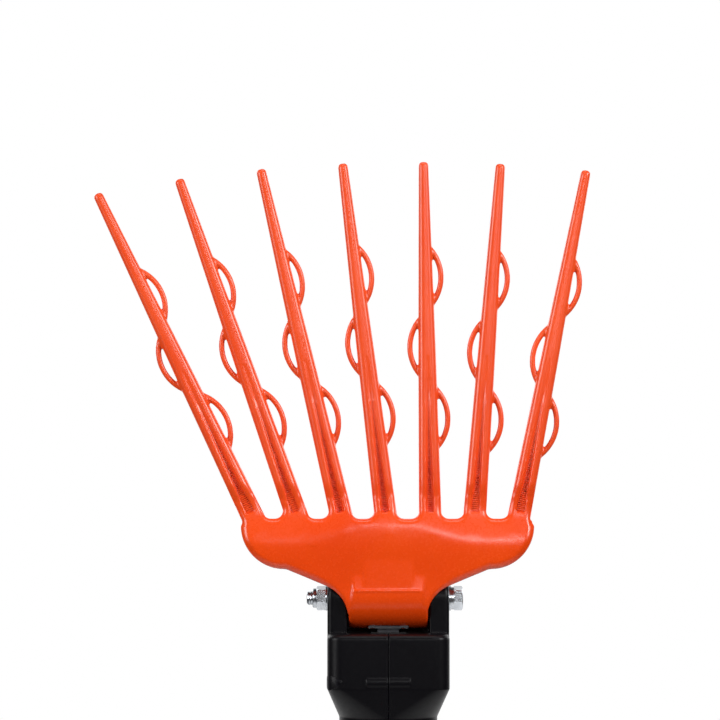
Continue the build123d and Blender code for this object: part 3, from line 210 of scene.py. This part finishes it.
def mouldedFinish(name, deep, bright, wornAndSheenTone, rough, grain, specular=0.5, edges=0.35, upperSheen=None):
    material, tree, shader = newFinish(name, Specular_IOR_Level=specular)
    surface = effect(tree, "mouldSurface", Grain_Scale=grain["scale"])
    wearAndShadeMasks = effect(tree, "edgeAndCreviceMasks")
    used = effect(tree, "handling")
    colour = mixColour(tree, surface["Flow"], deep, bright)
    colour = mixColour(tree, times(tree, surface["Mottle"], moulded["mottle"]), colour, bright)
    crevice = times(tree, wearAndShadeMasks["Crevice"], moulded["crevice"])
    # painted shade: the crevices are darkened
    colour = mixColour(tree, crevice, colour, shaded(deep, moulded["shade"]))
    # edges take the pale tone: worn spots, plus a painted highlight on rounded edges
    colour = mixColour(tree, times(tree, wearAndShadeMasks["Worn"], edges), colour, wornAndSheenTone)
    rough = plus(tree, times(tree, surface["Mottle"], moulded["mottleDull"]), rough)
    if upperSheen:  # the upper reach is painted paler as sheen, and its roughness raised
        place = addNode(tree, "ShaderNodeSeparateXYZ")
        join(tree, objectPlace(tree), place.inputs[0])
        upper = ramp(tree, place.outputs["Z"], *upperSheen["heights"])
        reach = times(tree, upper, ramp(tree, surface["Flow"], *moulded["flowBand"]))
        colour = mixColour(tree, times(tree, reach, upperSheen["share"]), colour, wornAndSheenTone)
        rough = plus(tree, times(tree, reach, upperSheen["dull"]), rough)
    join(tree, colour, shader.inputs["Base Color"])
    rough = plus(tree, times(tree, used["Scuff"], moulded["scuffDull"]), rough)
    rough = plus(tree, times(tree, wearAndShadeMasks["Crevice"], moulded["creviceDull"]), rough)
    join(tree, rough, shader.inputs["Roughness"])
    addBump(tree, shader, surface["Grain"], grain["height"])
    return material


# plated, ground or cast metal: mottled tone, worn brighter edges, painted shade in crevices
metal = {
    "flowScale": 60.0, "scratchScale": 140.0, "flow": 0.55, "crevice": 0.6, "shade": 0.45,
    "worn": 0.5, "shine": 1.25, "scuffDull": 0.12,
}


def metalFinish(name, base, dull, rough, grain, metallic=1.0, mottle=0.14):
    material, tree, shader = newFinish(name, Metallic=metallic)
    surface = effect(tree, "mouldSurface", Grain_Scale=grain["scale"], Flow_Scale=metal["flowScale"])
    wearAndShadeMasks = effect(tree, "edgeAndCreviceMasks")
    used = effect(tree, "handling", Scratch_Scale=metal["scratchScale"])
    colour = mixColour(tree, times(tree, surface["Flow"], metal["flow"]), base, dull)
    crevice = times(tree, wearAndShadeMasks["Crevice"], metal["crevice"])
    # painted shade: the crevices are darkened
    colour = mixColour(tree, crevice, colour, shaded(dull, metal["shade"]))
    colour = mixColour(tree, times(tree, wearAndShadeMasks["Worn"], metal["worn"]), colour, shaded(base, metal["shine"]))
    join(tree, colour, shader.inputs["Base Color"])
    rough = plus(tree, times(tree, surface["Mottle"], mottle), rough)
    rough = plus(tree, times(tree, used["Scuff"], metal["scuffDull"]), rough)
    join(tree, rough, shader.inputs["Roughness"])
    addBump(tree, shader, surface["Grain"], grain["height"])
    return material


finishes = {
    "rake_plastic": mouldedFinish(
        "rakePlastic", srgb(230, 64, 4), srgb(237, 73, 6), srgb(238, 116, 80), rough=0.235,
        grain={"scale": 2200.0, "height": 0.000004}, edges=0.12,
        # painted sheen: the upper fingers are mixed toward the pale tone, and made rougher
        upperSheen={"heights": (0.272, 0.33), "share": 0.14, "dull": 0.06},
    ),
    # the pale edge tone also paints the light caught by the rounded cheek edges
    "housing_plastic": mouldedFinish(
        "housingPlastic", srgb(5, 4, 7), srgb(9, 8, 12), srgb(40, 39, 47), rough=0.34,
        grain={"scale": 1500.0, "height": 0.00005}, specular=0.15,
    ),
    "gland_plastic": mouldedFinish(
        "glandPlastic", srgb(20, 20, 22), srgb(30, 30, 32), srgb(80, 80, 82), rough=0.45,
        grain={"scale": 2600.0, "height": 0.00002},
    ),
    "motor_plastic": mouldedFinish(
        "motorPlastic", srgb(36, 36, 38), srgb(50, 50, 52), srgb(96, 96, 98), rough=0.5,
        grain={"scale": 2600.0, "height": 0.00002},
    ),
    "white_nylon": mouldedFinish(
        "whiteNylon", srgb(214, 213, 202), srgb(232, 231, 222), srgb(240, 240, 236), rough=0.45,
        grain={"scale": 2600.0, "height": 0.00002},
    ),
    "black_rubber": mouldedFinish(
        "blackRubber", srgb(16, 16, 16), srgb(26, 26, 26), srgb(58, 58, 58), rough=0.7,
        grain={"scale": 1800.0, "height": 0.00005}, specular=0.3,
    ),
    "carbon": mouldedFinish(
        "pressedCarbon", srgb(30, 30, 31), srgb(44, 44, 45), srgb(70, 70, 70), rough=0.6,
        grain={"scale": 3000.0, "height": 0.00004},
    ),
    "zinc_steel": metalFinish(
        "zincPlate", srgb(208, 211, 215), srgb(164, 169, 178), rough=0.22,
        grain={"scale": 2400.0, "height": 0.000004}, mottle=0.02,
    ),
    "dark_steel": metalFinish(
        "oiledSteel", srgb(92, 92, 96), srgb(58, 58, 62), rough=0.34,
        grain={"scale": 2400.0, "height": 0.00002},
    ),
    "bearing_steel": metalFinish(
        "groundSteel", srgb(216, 218, 220), srgb(182, 185, 190), rough=0.2,
        grain={"scale": 3000.0, "height": 0.00001},
    ),
    "cast_aluminium": metalFinish(
        "castAluminium", srgb(204, 205, 206), srgb(168, 170, 174), rough=0.4,
        grain={"scale": 1300.0, "height": 0.00007},
    ),
    "bronze": metalFinish(
        "sinteredBronze", srgb(186, 146, 84), srgb(142, 106, 58), rough=0.42,
        grain={"scale": 2600.0, "height": 0.00004},
    ),
    "copper": metalFinish(
        "enamelledCopper", srgb(198, 112, 62), srgb(150, 76, 40), rough=0.3,
        grain={"scale": 1800.0, "height": 0.00005},
    ),
    "ferrite": metalFinish(
        "ferriteGrey", srgb(66, 66, 69), srgb(50, 50, 53), rough=0.6,
        grain={"scale": 2200.0, "height": 0.00005}, metallic=0.2,
    ),
}
slotOf = {row["node"]: row["material_slot"] for row in frame["record"]["subparts"]}
for nodeName, part in frame["nodes"].items():
    part.data.materials.clear()
    part.data.materials.append(finishes[slotOf[nodeName]])
print("finishes made:", len(finishes))


# piece helpers
def addPiece(name, mesh, body, slotName, replaced=()):
    piece = bpy.data.objects.new(name, mesh)
    scene.collection.objects.link(piece)
    mesh.materials.clear()
    mesh.materials.append(finishes[slotName])
    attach(piece, body)
    if replaced:
        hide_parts(*replaced)
    print("piece made:", name, len(mesh.polygons), "faces")


def meshFrom(bm, name):
    mesh = bpy.data.meshes.new(name)
    bm.to_mesh(mesh)
    bm.free()
    return mesh


# from a shape drawn in millimetres
def scaledMesh(bm, name):
    bmesh.ops.scale(bm, verts=bm.verts, vec=(mm, mm, mm))
    return meshFrom(bm, name)


def everything(bm):
    return bm.verts[:] + bm.edges[:] + bm.faces[:]


def roundEdges(bm, edges, offset, segments):
    bmesh.ops.bevel(
        bm, geom=edges, offset=offset, affect="EDGES", segments=segments, profile=0.5, material=-1,
    )


# a closed profile of (along, radius) corners, to be spun about X
def ringProfile(bm, corners):
    ring = [bm.verts.new((along, 0.0, radius)) for along, radius in corners]
    return ring + [bm.edges.new((ring[i], ring[i - 1])) for i in range(len(ring))]


def smoothFaces(mesh):
    mesh.polygons.foreach_set("use_smooth", [True] * len(mesh.polygons))


def mergedCopy(*nodeNames):
    weld = 0.002 * mm
    bm = bmesh.new()
    for node in nodeNames:
        bm.from_mesh(frame["nodes"][node].data)
    bmesh.ops.remove_doubles(bm, verts=bm.verts, dist=weld)
    return meshFrom(bm, nodeNames[0] + "Copy")


def holderOf(mesh):
    return bpy.data.objects.new("holder", mesh)


def applyModifiers(holder, *modifiers):
    mesh = holder.data
    scene.collection.objects.link(holder)
    for kind, settings in modifiers:
        modifier = holder.modifiers.new(kind.lower(), kind)
        for key, value in settings.items():
            setattr(modifier, key, value)
    bpy.context.view_layer.update()
    made = bpy.data.meshes.new_from_object(holder.evaluated_get(bpy.context.evaluated_depsgraph_get()))
    bpy.data.objects.remove(holder)
    bpy.data.meshes.remove(mesh)
    return made


def softened(nodeNames, voxel, rounds):
    remesh = ("REMESH", {"mode": "VOXEL", "voxel_size": voxel, "use_smooth_shade": True})
    shrink = ("SMOOTH", {"factor": 0.5, "iterations": 2})
    swell = ("SMOOTH", {"factor": -0.5, "iterations": 1})  # gives thin webs their thickness back
    return applyModifiers(holderOf(mergedCopy(*nodeNames)), remesh, *[shrink, swell] * rounds)


def thinned(mesh, triangles):
    count = sum(len(face.vertices) - 2 for face in mesh.polygons)
    ratio = min(1.0, triangles / count)
    mesh = applyModifiers(holderOf(mesh), ("DECIMATE", {"decimate_type": "COLLAPSE", "ratio": ratio}))
    smoothFaces(mesh)
    return mesh


def pointsOf(mesh):
    flat = np.empty(len(mesh.vertices) * 3)
    mesh.vertices.foreach_get("co", flat)
    return flat.reshape(-1, 3) / mm


def setPoints(mesh, points):
    mesh.vertices.foreach_set("co", (points * mm).ravel())
    mesh.update()


def ease(value, low, high):
    share = np.clip((value - low) / (high - low), 0.0, 1.0)
    return share * share * (3.0 - 2.0 * share)


def between(ends, share):
    return ends[0] + (ends[1] - ends[0]) * share


# rake: one moulding with a crowned palm, its edges and loop roots rounded by the mould
rake = {
    "voxel": 0.5 * mm, "rounds": 14, "triangles": 195000, "pivot": 241.1, "shift": -0.5,
    "skin": (-13.6, -17.2),  # depth over which the front skin takes the crown
    "crown": 3.0, "foot": (0.0, 38.0), "reach": 130.0,
    "ridge": (44.0, 9.5), "ridgeRun": (12.0, 56.0), "shoulder": 1.6, "fall": 0.27,
    "blend": (48.0, 70.0),  # heights over which the crown fades into the fingers
    "lobe": (62.0, 44.0, 26.0), "slope": (37.0, 8.1, 22.5),
    "rim": 4.5, "rimDrop": 1.2, "rimRun": (30.0, 44.0), "rimTop": (44.0, 50.0),
    "hub": 18.0, "hubFront": (-17.0, -6.0, -19.5, 5.4), "hubLow": -15.0, "hubEnd": (20.5, 23.2),
    "hubSkin": (0.6, 1.8),  # distances from the solid's front over which the swell fades
    "tongue": (24.0, 29.0, -12.0, 34.0, -12.5), "tongueRounds": 14, "tongueLeast": 0.01,
    "crease": (5.2, 0.85, 0.42), "creaseEnd": (18.5, 22.5),
}


# distance from the rake's middle and height over the pivot
def rakePlace(points):
    return np.abs(points[:, 0] - rake["shift"]), points[:, 2] - rake["pivot"]


rakeNodes = [name for name in frame["nodes"] if slotOf[name] == "rake_plastic"]
rakeMesh = softened(rakeNodes, rake["voxel"], rake["rounds"])
points = pointsOf(rakeMesh)
across, height = rakePlace(points)
skin = ease(points[:, 1], *rake["skin"]) * (1 - ease(height, *rake["blend"]))

# the palm bulges, then falls back above a ridge that runs down to each lobe
ridgeZ, ridgeFall = rake["ridge"]
above = (height - ridgeZ + ridgeFall * ease(across, *rake["ridgeRun"])) / rake["shoulder"]
fallBack = rake["fall"] * rake["shoulder"] * np.logaddexp(0.0, above)
bulge = rake["crown"] * ease(height, *rake["foot"]) * (1 - np.clip(across / rake["reach"], 0.0, 1.0) ** 2)
crown = bulge - fallBack * ease(height, *rake["foot"])

# a narrow rim turns away along the lower edge and the lobes
edgeX, edgeZ, edgeTurn = rake["slope"]
edgeTurn = math.radians(edgeTurn)
slopeGap = (height - edgeZ) * math.cos(edgeTurn) - (across - edgeX) * math.sin(edgeTurn)
lobeX, lobeZ, lobeR = rake["lobe"]
lobeGap = np.where(height < lobeZ, lobeR - np.hypot(across - lobeX, height - lobeZ), lobeX + lobeR - across)
gap = np.where(across < lobeX, slopeGap, lobeGap)
drop = rake["rimDrop"] * (1 - ease(gap, 0.0, rake["rim"]))
drop = drop * ease(across, *rake["rimRun"]) * (1 - ease(height, *rake["rimTop"]))
points[:, 1] += skin * (drop - crown)

# the hub's front swells evenly up to the tongue's ridge
toeY, toeZ, crestY, crestZ = rake["hubFront"]
barrel = -np.sqrt(np.maximum(1.0, rake["hub"] ** 2 - height ** 2))
toeLine = toeY + (height - toeZ) * (crestY - toeY) / (crestZ - toeZ)
solidFront = np.where(height > toeZ, np.minimum(barrel, toeLine), barrel)
crestLift = crestY + math.sqrt(rake["hub"] ** 2 - crestZ ** 2)
share = np.clip((height - rake["hubLow"]) / (crestZ - rake["hubLow"]), 0.0, 1.0)
swell = barrel + crestLift * share ** 2 - solidFront
onHub = (height < crestZ) * (height > rake["hubLow"]) * (1 - ease(across, *rake["hubEnd"]))
points[:, 1] += swell * onHub * (1 - ease(np.abs(points[:, 1] - solidFront), *rake["hubSkin"]))
setPoints(rakeMesh, points)

# the tongue and the hub's front run softly into the palm
nearX, farX, lowZ, highZ, frontY = rake["tongue"]
soft = (1 - ease(across, nearX, farX)) * (height > lowZ) * (height < highZ) * (points[:, 1] < frontY)
holder = holderOf(rakeMesh)
tongueGroup = holder.vertex_groups.new(name="tongue")
for index in np.flatnonzero(soft > rake["tongueLeast"]):
    tongueGroup.add([int(index)], float(soft[index]), "REPLACE")
rakeMesh = applyModifiers(
    holder, ("SMOOTH", {"factor": 0.5, "iterations": rake["tongueRounds"], "vertex_group": "tongue"}),
)

# a thin crease stands along the tongue's ridge
points = pointsOf(rakeMesh)
across, height = rakePlace(points)
creaseZ, creaseW, creaseLift = rake["crease"]
onRidge = (points[:, 1] < frontY) * (1 - ease(across, *rake["creaseEnd"]))
points[:, 1] -= creaseLift * onRidge * np.exp(-((height - creaseZ) / creaseW) ** 2)
setPoints(rakeMesh, points)
addPiece("rake_moulding", thinned(rakeMesh, rake["triangles"]), "rake", "rake_plastic", rakeNodes)

# fine ribs on the floor of each finger's groove, which narrows and gets shallower on its way up
grooveRibs = {
    "leans": (-25.7, -19.3, -13.1, -7.0, -1.1, 4.2, 11.0), "step": 26.5, "foot": (-1.35, -11.7, 289.4),
    "count": 45, "first": 5.2, "pitch": 1.2, "thick": 0.55, "tall": 0.3, "round": 0.18,
    "run": (4.0, 60.0), "wide": (4.9, 2.0), "deep": (3.6, 1.4), "face": -6.3, "drift": 0.014,
    "bite": 0.6,  # how much of a rib's length is in the groove's walls
}
bm = bmesh.new()
footX, footY, footZ = grooveRibs["foot"]
runLow, runHigh = grooveRibs["run"]
for index, lean in enumerate(grooveRibs["leans"]):
    fromMiddle = index - len(grooveRibs["leans"]) // 2
    foot = Vector((footX + grooveRibs["step"] * fromMiddle, footY, footZ))
    place = Matrix.Translation(foot) @ Matrix.Rotation(math.radians(lean), 4, "Y")
    for number in range(grooveRibs["count"]):
        along = grooveRibs["first"] + grooveRibs["pitch"] * number
        share = (along - runLow) / (runHigh - runLow)
        wide = between(grooveRibs["wide"], share) + grooveRibs["bite"]
        floorY = grooveRibs["face"] + grooveRibs["drift"] * along + between(grooveRibs["deep"], share)
        made = bmesh.ops.create_cube(bm, size=1.0)["verts"]
        bmesh.ops.scale(bm, verts=made, vec=(wide, 2 * grooveRibs["tall"], grooveRibs["thick"]))
        bmesh.ops.translate(bm, verts=made, vec=(0.0, floorY, along))
        bmesh.ops.transform(bm, matrix=place, verts=made)
roundEdges(bm, bm.edges[:], grooveRibs["round"], segments=1)
addPiece("groove_ribs", scaledMesh(bm, "grooveRibs"), "rake", "rake_plastic")

# thread on the bolt's end, outside the lock nut
boltThread = {"root": 3.9, "crest": 4.22, "half": 0.5, "pitch": 1.25, "turns": 2, "steps": 36, "start": -48.3}
bm = bmesh.new()
start = boltThread["start"]
half = boltThread["half"]
corners = [
    (start - half, boltThread["root"]), (start, boltThread["crest"]), (start + half, boltThread["root"]),
]
bmesh.ops.spin(
    bm, geom=ringProfile(bm, corners), cent=(0, 0, 0), axis=(1, 0, 0),
    dvec=(boltThread["pitch"] / boltThread["steps"], 0, 0),
    angle=2 * math.pi * boltThread["turns"], steps=boltThread["steps"] * boltThread["turns"],
)
bmesh.ops.holes_fill(bm, edges=bm.edges[:], sides=len(corners))
bmesh.ops.recalc_face_normals(bm, faces=bm.faces)
bmesh.ops.translate(bm, verts=bm.verts, vec=(0, 0, rake["pivot"]))
addPiece("bolt_thread", scaledMesh(bm, "boltThread"), "housing", "zinc_steel")

# dust rings in the gaps between the hub's bushes and the cheeks
dustRings = {"inner": 9.0, "outer": 10.9, "span": (24.54, 24.95), "steps": 64}
bm = bmesh.new()
for side in (-1, 1):
    ends = [side * along for along in dustRings["span"]]
    corners = [(x, dustRings["inner"]) for x in ends] + [(x, dustRings["outer"]) for x in reversed(ends)]
    bmesh.ops.spin(
        bm, geom=ringProfile(bm, corners), cent=(0, 0, 0), axis=(1, 0, 0), angle=2 * math.pi,
        steps=dustRings["steps"], use_merge=True,
    )
bmesh.ops.recalc_face_normals(bm, faces=bm.faces)
bmesh.ops.translate(bm, verts=bm.verts, vec=(0, 0, rake["pivot"]))
addPiece("dust_rings", scaledMesh(bm, "dustRings"), "housing", "black_rubber")

# caps over the upper screw bores, shaped to the housing's rounded corners
screwCaps = {
    "radius": 4.6, "run": (-37.4, -27.4), "place": (29.14, 192.0), "corner": (-27.6, 24.54),
    "round": 9.0, "proud": 0.3, "planes": 19, "segments": 64,
    "rim": 0.18, "rimAngle": 0.6, "sharpAngle": math.radians(35),
}
bm = bmesh.new()
lowX, highX = screwCaps["run"]
bmesh.ops.create_cone(
    bm, cap_ends=True, segments=screwCaps["segments"], depth=highX - lowX,
    radius1=screwCaps["radius"], radius2=screwCaps["radius"],
)
bmesh.ops.rotate(bm, verts=bm.verts, cent=(0, 0, 0), matrix=Matrix.Rotation(math.radians(90), 3, "Y"))
bmesh.ops.translate(bm, verts=bm.verts, vec=((lowX + highX) / 2, *screwCaps["place"]))
for turn in np.linspace(0.0, math.pi / 2, screwCaps["planes"]):
    outward = Vector((-math.cos(turn), math.sin(turn), 0.0))
    touchPoint = Vector((*screwCaps["corner"], 0.0)) + (screwCaps["round"] + screwCaps["proud"]) * outward
    cut = bmesh.ops.bisect_plane(
        bm, geom=everything(bm), plane_co=touchPoint, plane_no=outward, clear_outer=True,
    )
    cutEdges = [item for item in cut["geom_cut"] if isinstance(item, bmesh.types.BMEdge)]
    if cutEdges:
        bmesh.ops.edgeloop_fill(bm, edges=cutEdges)
folds = [edge for edge in bm.edges if len(edge.link_faces) == 2]
rim = [edge for edge in folds if edge.calc_face_angle() > screwCaps["rimAngle"]]
roundEdges(bm, rim, screwCaps["rim"], segments=2)
bmesh.ops.mirror(bm, geom=everything(bm), axis="Y", merge_dist=0.0)
bmesh.ops.recalc_face_normals(bm, faces=bm.faces)
capMesh = scaledMesh(bm, "screwCaps")
smoothFaces(capMesh)
capMesh.set_sharp_from_angle(angle=screwCaps["sharpAngle"])
addPiece("screw_caps", capMesh, "housing", "housing_plastic")

# grip flutes around the gland's cap
glandFlutes = {
    "count": 20, "radius": 9.5, "centre": (0.0, 42.2, 89.0), "size": (1.5, 5.6, 1.2), "round": 0.35,
}
bm = bmesh.new()
for index in range(glandFlutes["count"]):
    made = bmesh.ops.create_cube(bm, size=1.0)["verts"]
    bmesh.ops.scale(bm, verts=made, vec=glandFlutes["size"])
    bmesh.ops.translate(bm, verts=made, vec=(0, 0, glandFlutes["radius"]))
    turn = Matrix.Rotation(2 * math.pi * index / glandFlutes["count"], 3, "Y")
    bmesh.ops.rotate(bm, verts=made, cent=(0, 0, 0), matrix=turn)
roundEdges(bm, bm.edges[:], glandFlutes["round"], segments=2)
bmesh.ops.translate(bm, verts=bm.verts, vec=glandFlutes["centre"])
addPiece("gland_flutes", scaledMesh(bm, "glandFlutes"), "housing", "gland_plastic")

# housing shells
shells = {"voxel": 0.45 * mm, "rounds": 2, "triangles": 150000}
for side in ("left", "right"):
    shellMesh = thinned(softened(["housing_" + side], shells["voxel"], shells["rounds"]), shells["triangles"])
    addPiece("housing_shell_" + side, shellMesh, "housing", "housing_plastic", ["housing_" + side])

# camera: level with the middle of the fingers, square to the rake
shot = {"lens": 260.0, "sensor": 36.0, "frame": 0.432, "centre": (-0.017, 0.3845), "plane": -0.0117}
distance = shot["lens"] / shot["sensor"] * shot["frame"]
camera = bpy.data.objects.new("camera", bpy.data.cameras.new("camera"))
camera.data.lens = shot["lens"]
camera.data.sensor_width = shot["sensor"]
camera.location = (shot["centre"][0], shot["plane"] - distance, shot["centre"][1])
camera.rotation_euler = (math.radians(90), 0, 0)
scene.collection.objects.link(camera)
scene.camera = camera

# studio light
middle = Vector((0.0, 0.0, 0.34))
palm = Vector((0.0, 0.0, 0.28))
lamps = {
    "keyRight": {"size": (0.45, 0.1), "place": (0.22, -1.63, 0.74), "aim": palm, "power": 3.8},
    "sheenRight": {"size": (0.3, 0.2), "place": (0.36, -2.6, 0.5), "aim": palm, "power": 0.7},
    "sideRight": {"size": (0.6, 0.6), "place": (1.3, -1.0, 1.0), "aim": middle, "power": 24.0},
    "fillLeft": {"size": (0.8, 0.9), "place": (-1.5, -0.9, 0.7), "aim": middle, "power": 22.0},
    "topStrip": {"size": (1.2, 0.4), "place": (0.1, -0.4, 1.7), "aim": middle, "power": 8.0},
    "backLeft": {"size": (0.8, 0.8), "place": (-1.0, 1.2, 0.9), "aim": middle, "power": 5.0},
    "backRight": {"size": (0.8, 0.8), "place": (1.1, 1.2, 0.7), "aim": middle, "power": 4.0},
}
for name, setting in lamps.items():
    data = bpy.data.lights.new(name, "AREA")
    data.shape = "RECTANGLE"
    data.size, data.size_y = setting["size"]
    data.energy = setting["power"]
    lamp = bpy.data.objects.new(name, data)
    lamp.location = setting["place"]
    toAim = setting["aim"] - Vector(setting["place"])
    lamp.rotation_euler = toAim.to_track_quat("-Z", "Y").to_euler()
    scene.collection.objects.link(lamp)


# white to the eye, and to metal where it faces the backdrop
def whiteRays(tree, share=1.0):
    ray = addNode(tree, "ShaderNodeLightPath").outputs
    mirrored = times(tree, plus(tree, ray["Is Glossy Ray"], ray["Is Transmission Ray"]), share)
    return plus(tree, ray["Is Camera Ray"], mirrored)


studio = {"ambient": 0.06, "backdrop": (0.55, 0.85), "white": (1.0, 1.0, 1.0, 1.0)}
world = bpy.data.worlds.new("studio")
scene.world = world
world.use_nodes = True
tree = world.node_tree
sky = tree.nodes["Background"]
sky.inputs["Color"].default_value = studio["white"]
sky.inputs["Strength"].default_value = studio["ambient"]
white = addNode(tree, "ShaderNodeBackground", {"Color": studio["white"], "Strength": 1.0})
toward = addNode(tree, "ShaderNodeSeparateXYZ")
join(tree, addNode(tree, "ShaderNodeTexCoord").outputs["Generated"], toward.inputs[0])
choose = addNode(tree, "ShaderNodeMixShader")
join(tree, whiteRays(tree, ramp(tree, toward.outputs["Y"], *studio["backdrop"])), choose.inputs["Fac"])
join(tree, sky.outputs[0], choose.inputs[1])
join(tree, white.outputs[0], choose.inputs[2])
join(tree, choose.outputs[0], tree.nodes["World Output"].inputs["Surface"])

# floor under the socket's mouth
floorPaper = {
    "radius": 0.38, "clear": 0.12, "drop": 0.001, "segments": 96,
    "tone": (0.86, 0.86, 0.86, 1.0), "rough": 0.8, "glow": 0.3,
}
bm = bmesh.new()
bmesh.ops.create_circle(bm, cap_ends=True, segments=floorPaper["segments"], radius=floorPaper["radius"])
bmesh.ops.translate(bm, verts=bm.verts, vec=(0, 0, -floorPaper["drop"]))
floorMesh = meshFrom(bm, "floor")
floor = bpy.data.objects.new("floor", floorMesh)
scene.collection.objects.link(floor)
paper, tree, shader = newFinish(
    "floorPaper", Roughness=floorPaper["rough"], Base_Color=floorPaper["tone"],
    Emission_Color=studio["white"],
)
join(tree, times(tree, whiteRays(tree), floorPaper["glow"]), shader.inputs["Emission Strength"])
span = addNode(tree, "ShaderNodeVectorMath", operation="LENGTH")
join(tree, objectPlace(tree), span.inputs[0])
fade = ramp(tree, span.outputs["Value"], floorPaper["radius"], floorPaper["clear"])  # the rim runs out softly
join(tree, fade, shader.inputs["Alpha"])
floorMesh.materials.append(paper)

scene.view_settings.view_transform = "Standard"
print("camera, light and floor set")
